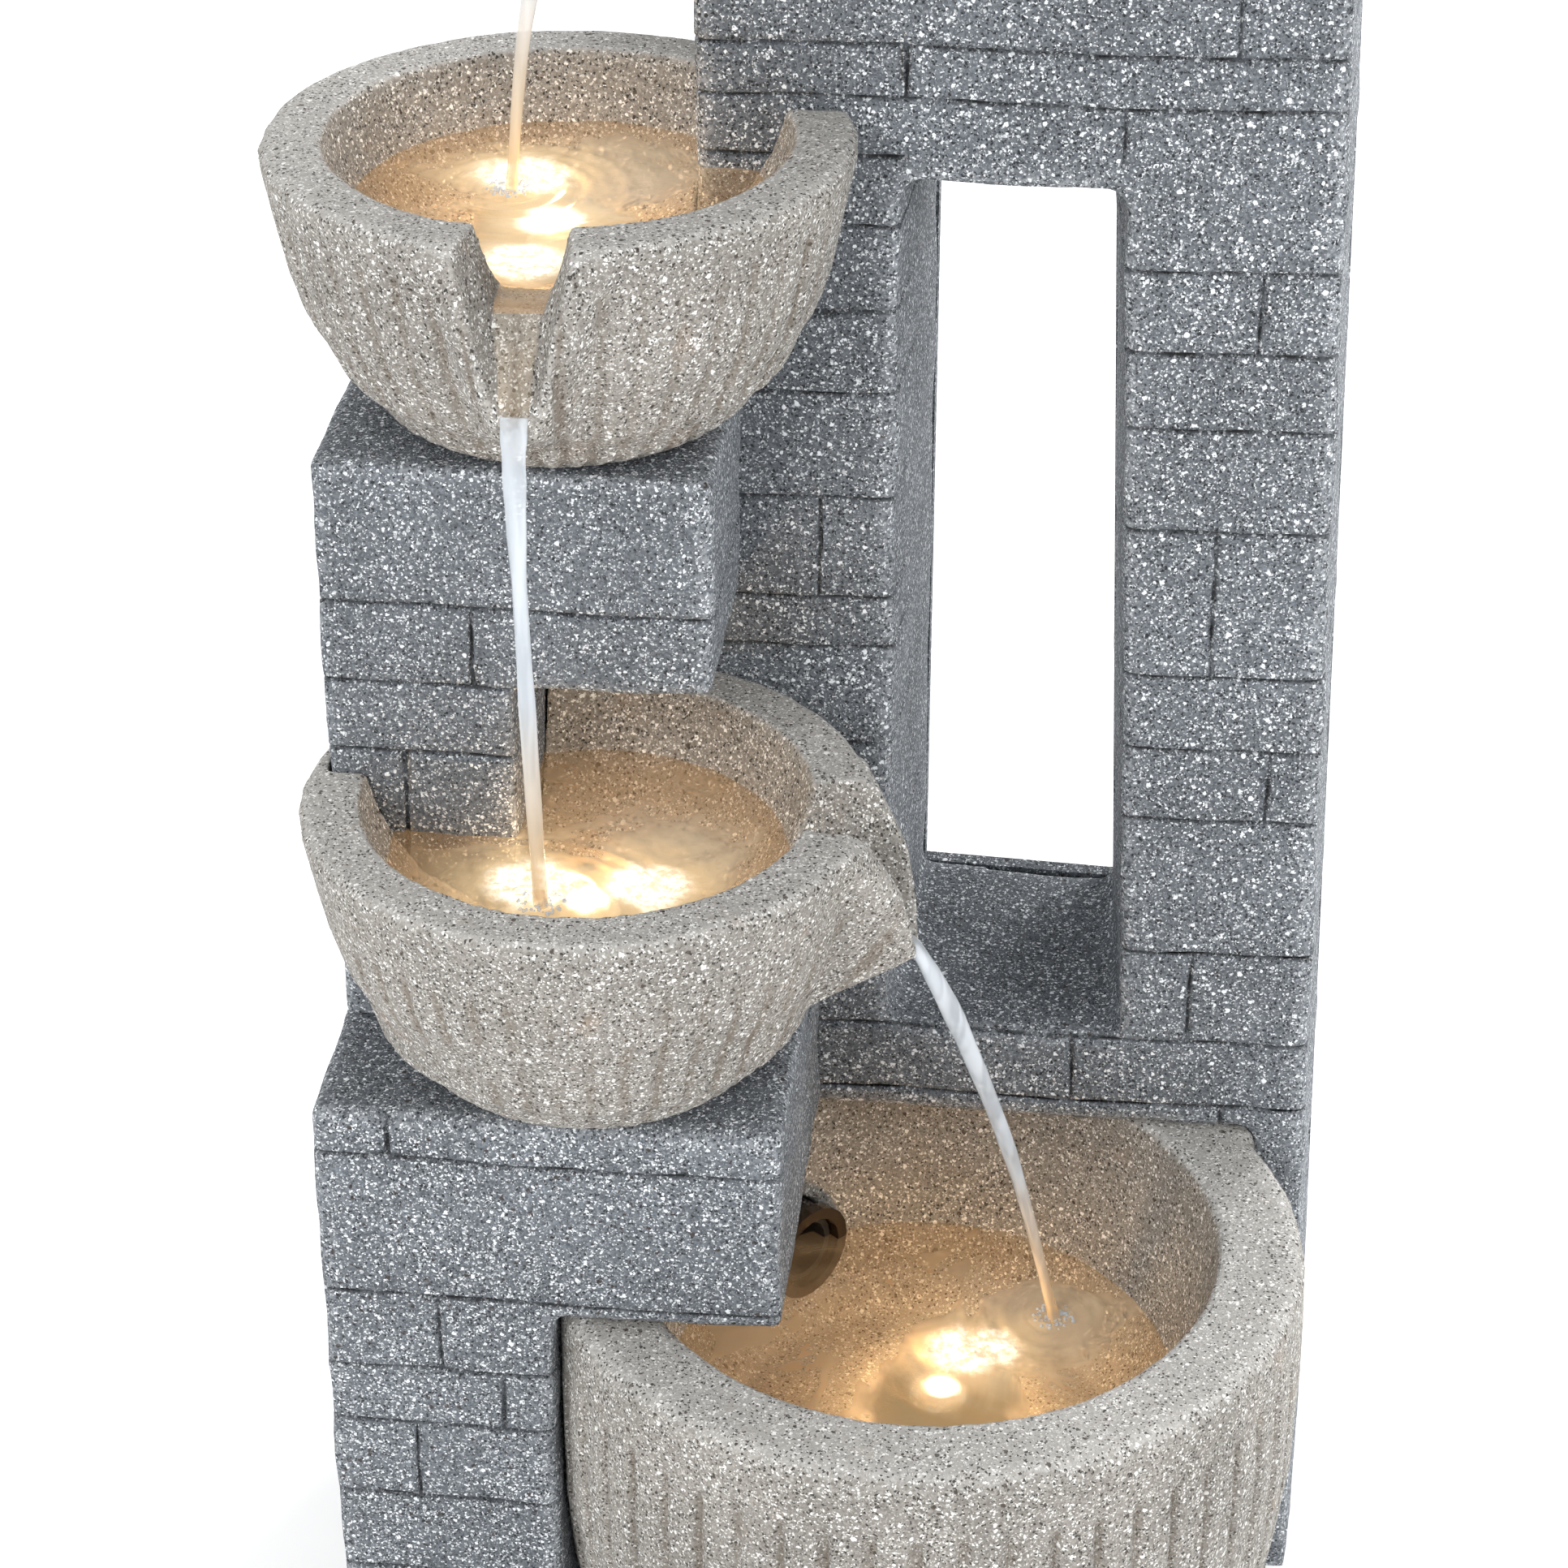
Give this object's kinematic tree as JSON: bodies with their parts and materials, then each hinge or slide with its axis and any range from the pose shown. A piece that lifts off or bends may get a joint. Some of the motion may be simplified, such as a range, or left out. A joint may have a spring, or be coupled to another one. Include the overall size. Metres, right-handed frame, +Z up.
{
  "type": "tabletop water fountain",
  "caption": "Stepped stone-effect tabletop fountain: bowls spill into each other down a windowed wall into a fluted basin, with lights and a hidden pump.",
  "frame": {"origin": "middle of the bounding box at the surface that the fountain stands on", "axes": "+Z up, -Y towards the viewer and the basin's front, +X to the right as seen from the front"},
  "size_m": [0.1924, 0.1688, 0.423],
  "materials": {
    "wall_stone": "cool grey stone-effect resin with white and black flecks and dark carved joints",
    "bowl_stone": "light warm grey stone-effect resin with white and dark flecks",
    "grey_plastic": "moulded dark grey plastic",
    "black_plastic": "moulded black plastic",
    "rubber": "soft dark rubber",
    "steel": "stainless",
    "warm_lens": "clear moulded lens over a warm white light",
    "clear_hose": "translucent flexible hose",
    "lead_sheath": "black sheath",
    "water": "clear running water, only in the visual model"
  },
  "bodies": {
    "fountain": {"base_plate": "grey_plastic", "basin": "bowl_stone", "cable_gland": "black_plastic", "capstone": "wall_stone", "column_rear_cover": "wall_stone", "door_hinge_pin": "steel", "foot_front_left": "rubber", "foot_front_right": "rubber", "foot_rear_left": "rubber", "foot_rear_right": "rubber", "hose_clamp": "steel", "impeller_shaft": "steel", "intake_strainer": "black_plastic", "junction_box": "black_plastic", "junction_lid": "black_plastic", "light_body_basin": "black_plastic", "light_body_middle": "black_plastic", "light_body_top": "black_plastic", "light_body_upper": "black_plastic", "light_gasket_basin": "rubber", "light_gasket_middle": "rubber", "light_gasket_top": "rubber", "light_gasket_upper": "rubber", "light_lead_basin": "lead_sheath", "light_lead_middle": "lead_sheath", "light_lead_top": "lead_sheath", "light_lead_upper": "lead_sheath", "light_lens_basin": "warm_lens", "light_lens_middle": "warm_lens", "light_lens_top": "warm_lens", "light_lens_upper": "warm_lens", "lower_pedestal": "wall_stone", "middle_bowl": "bowl_stone", "outlet_adapter": "black_plastic", "pump_chamber": "black_plastic", "pump_housing": "black_plastic", "pump_lead": "lead_sheath", "pump_tank": "black_plastic", "rear_screw_1": "steel", "rear_screw_2": "steel", "rear_screw_3": "steel", "rear_screw_4": "steel", "rear_screw_5": "steel", "return_duct": "black_plastic", "return_grommet": "rubber", "riser_hose": "clear_hose", "suction_foot_left": "rubber", "suction_foot_right": "rubber", "supply_lead": "lead_sheath", "top_bowl": "bowl_stone", "top_inlet": "black_plastic", "upper_bowl": "bowl_stone", "upper_pedestal": "wall_stone", "wall_rear_cover": "wall_stone", "wall_shell": "wall_stone"},
    "impeller": {"impeller": "grey_plastic"},
    "flow_regulator": {"flow_regulator": "grey_plastic"},
    "rear_door": {"rear_door": "grey_plastic"},
    "door_latch": {"door_latch": "black_plastic"},
    "drain_plug": {"drain_plug": "rubber"}
  },
  "joints": [
    {"name": "impeller_spin", "type": "hinge", "parent": "fountain", "child": "impeller", "pos_m": [-0.06171, 0.04335, 0.026], "axis": [0, 1, 0], "continuous": true},
    {"name": "flow_regulator_turn", "type": "hinge", "parent": "fountain", "child": "flow_regulator", "pos_m": [-0.06171, 0.06335, 0.032], "axis": [0, 1, 0], "range_deg": [0, 90]},
    {"name": "rear_door_swing", "type": "hinge", "parent": "fountain", "child": "rear_door", "pos_m": [-0.07722, 0.08255, 0.129], "axis": [0, 0, 1], "range_deg": [0, 110]},
    {"name": "door_latch_turn", "type": "hinge", "parent": "rear_door", "child": "door_latch", "pos_m": [-0.04172, 0.07935, 0.129], "axis": [0, 1, 0], "range_deg": [0, 90]},
    {"name": "drain_plug_pull", "type": "slide", "parent": "fountain", "child": "drain_plug", "axis": [0, 1, 0], "range_m": [0, 0.02]}
  ]
}
